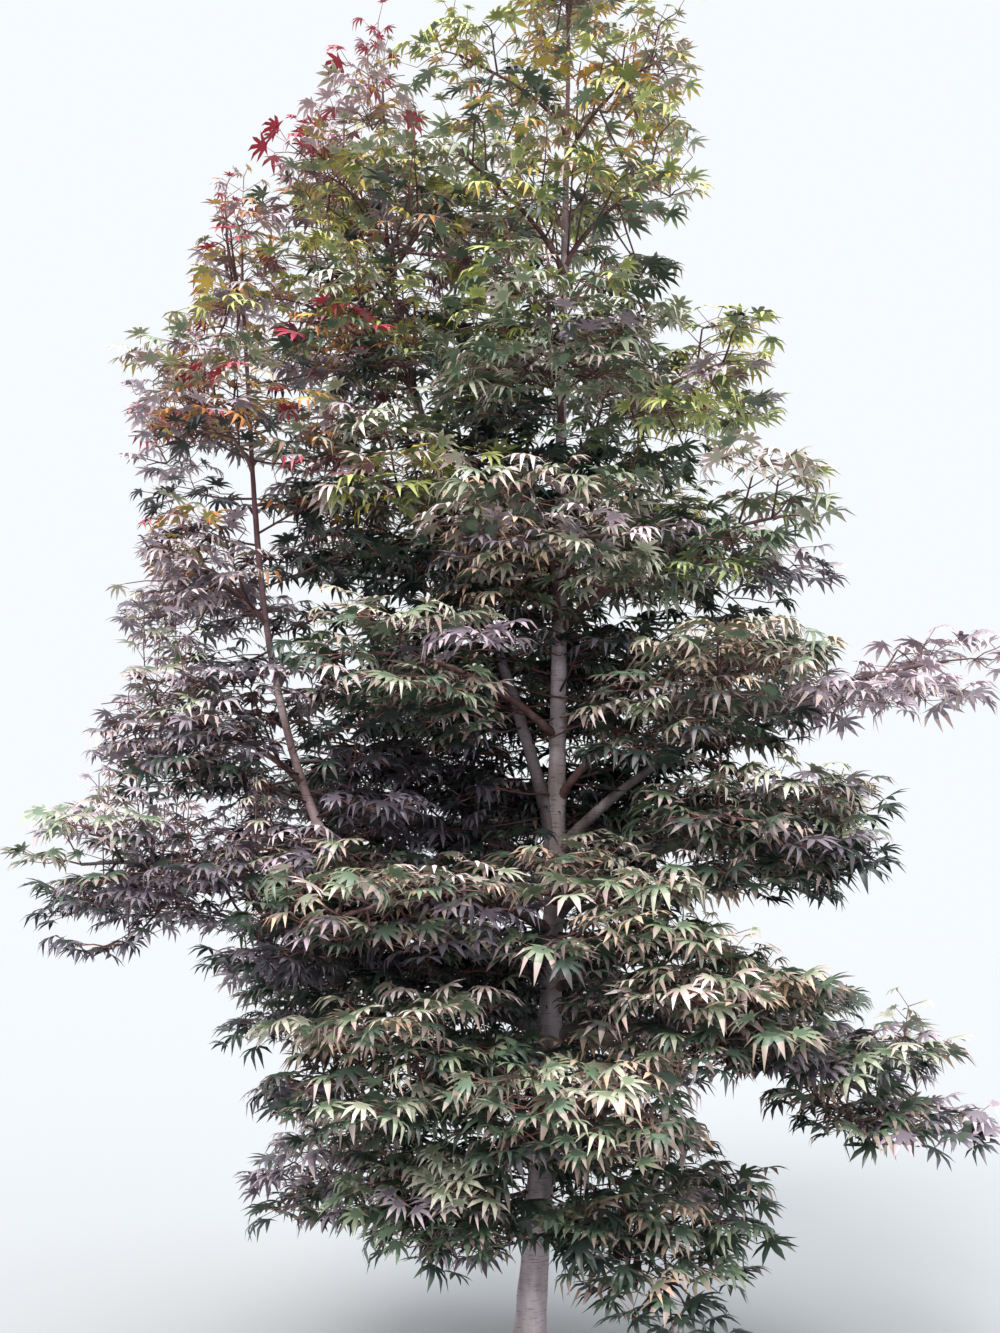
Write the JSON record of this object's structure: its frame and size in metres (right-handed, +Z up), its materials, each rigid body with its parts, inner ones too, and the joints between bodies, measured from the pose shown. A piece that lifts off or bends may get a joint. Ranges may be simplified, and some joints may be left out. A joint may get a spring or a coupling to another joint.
{
  "type": "full moon maple",
  "caption": "Young upright ornamental maple tree with a slim leaning trunk, side leaders and layered tiers of lobed green, bronze and mauve leaves, rooted in the ground.",
  "frame": {"origin": "the middle of the flat cut under the trunk, at ground level", "axes": "+Z up, +X to the right as the tree is seen from its front, and -Y towards its front"},
  "size_m": [1.6605, 1.1281, 2.7914],
  "materials": {
    "bark": "smooth pale grey-tan bark with faint cross marks",
    "green_foliage": "satin green leaves",
    "bronze_foliage": "satin bronze and pinkish tan leaves",
    "mauve_foliage": "satin dull purple and mauve leaves",
    "gold_foliage": "satin olive and gold leaves"
  },
  "bodies": {
    "root": {"trunk": "bark", "left_leader": "bark", "left_low_bough": "bark", "outer_leader": "bark", "low_left_bough": "bark", "low_front_right_bough": "bark", "low_right_bough": "bark", "low_right_back_bough": "bark", "low_back_bough": "bark", "low_back_left_bough": "bark", "left_spray_bough": "bark", "right_mid_bough": "bark", "right_back_bough": "bark", "back_bough": "bark", "back_left_bough": "bark", "right_spray_bough": "bark", "skirt_left_foliage": "green_foliage", "skirt_right_foliage": "green_foliage", "skirt_back_left_foliage": "mauve_foliage", "low_left_foliage": "bronze_foliage", "low_front_foliage": "bronze_foliage", "low_front_right_foliage": "bronze_foliage", "low_right_foliage": "bronze_foliage", "low_right_back_foliage": "green_foliage", "low_back_foliage": "green_foliage", "low_back_left_foliage": "mauve_foliage", "left_spray_foliage": "mauve_foliage", "left_front_foliage": "bronze_foliage", "front_foliage": "bronze_foliage", "right_mid_foliage": "green_foliage", "right_back_foliage": "green_foliage", "back_foliage": "green_foliage", "back_left_foliage": "mauve_foliage", "right_spray_foliage": "mauve_foliage", "right_front_foliage": "bronze_foliage", "front_left_foliage": "bronze_foliage", "outer_low_foliage": "mauve_foliage", "right_back_mid_foliage": "green_foliage", "back_mid_foliage": "green_foliage", "right_upper_foliage": "gold_foliage", "front_upper_foliage": "bronze_foliage", "outer_mid_foliage": "mauve_foliage", "left_inner_foliage": "bronze_foliage", "back_upper_foliage": "green_foliage", "back_left_upper_foliage": "green_foliage", "right_high_foliage": "gold_foliage", "front_high_foliage": "green_foliage", "outer_high_foliage": "gold_foliage", "outer_tip_foliage": "mauve_foliage", "left_high_foliage": "gold_foliage", "back_high_foliage": "green_foliage", "right_crown_foliage": "gold_foliage", "front_crown_foliage": "gold_foliage", "left_crown_foliage": "gold_foliage", "left_outer_crown_foliage": "gold_foliage", "left_tip_foliage": "gold_foliage", "back_crown_foliage": "green_foliage", "top_right_foliage": "gold_foliage", "top_left_foliage": "gold_foliage", "top_foliage": "gold_foliage"}
  },
  "joints": []
}
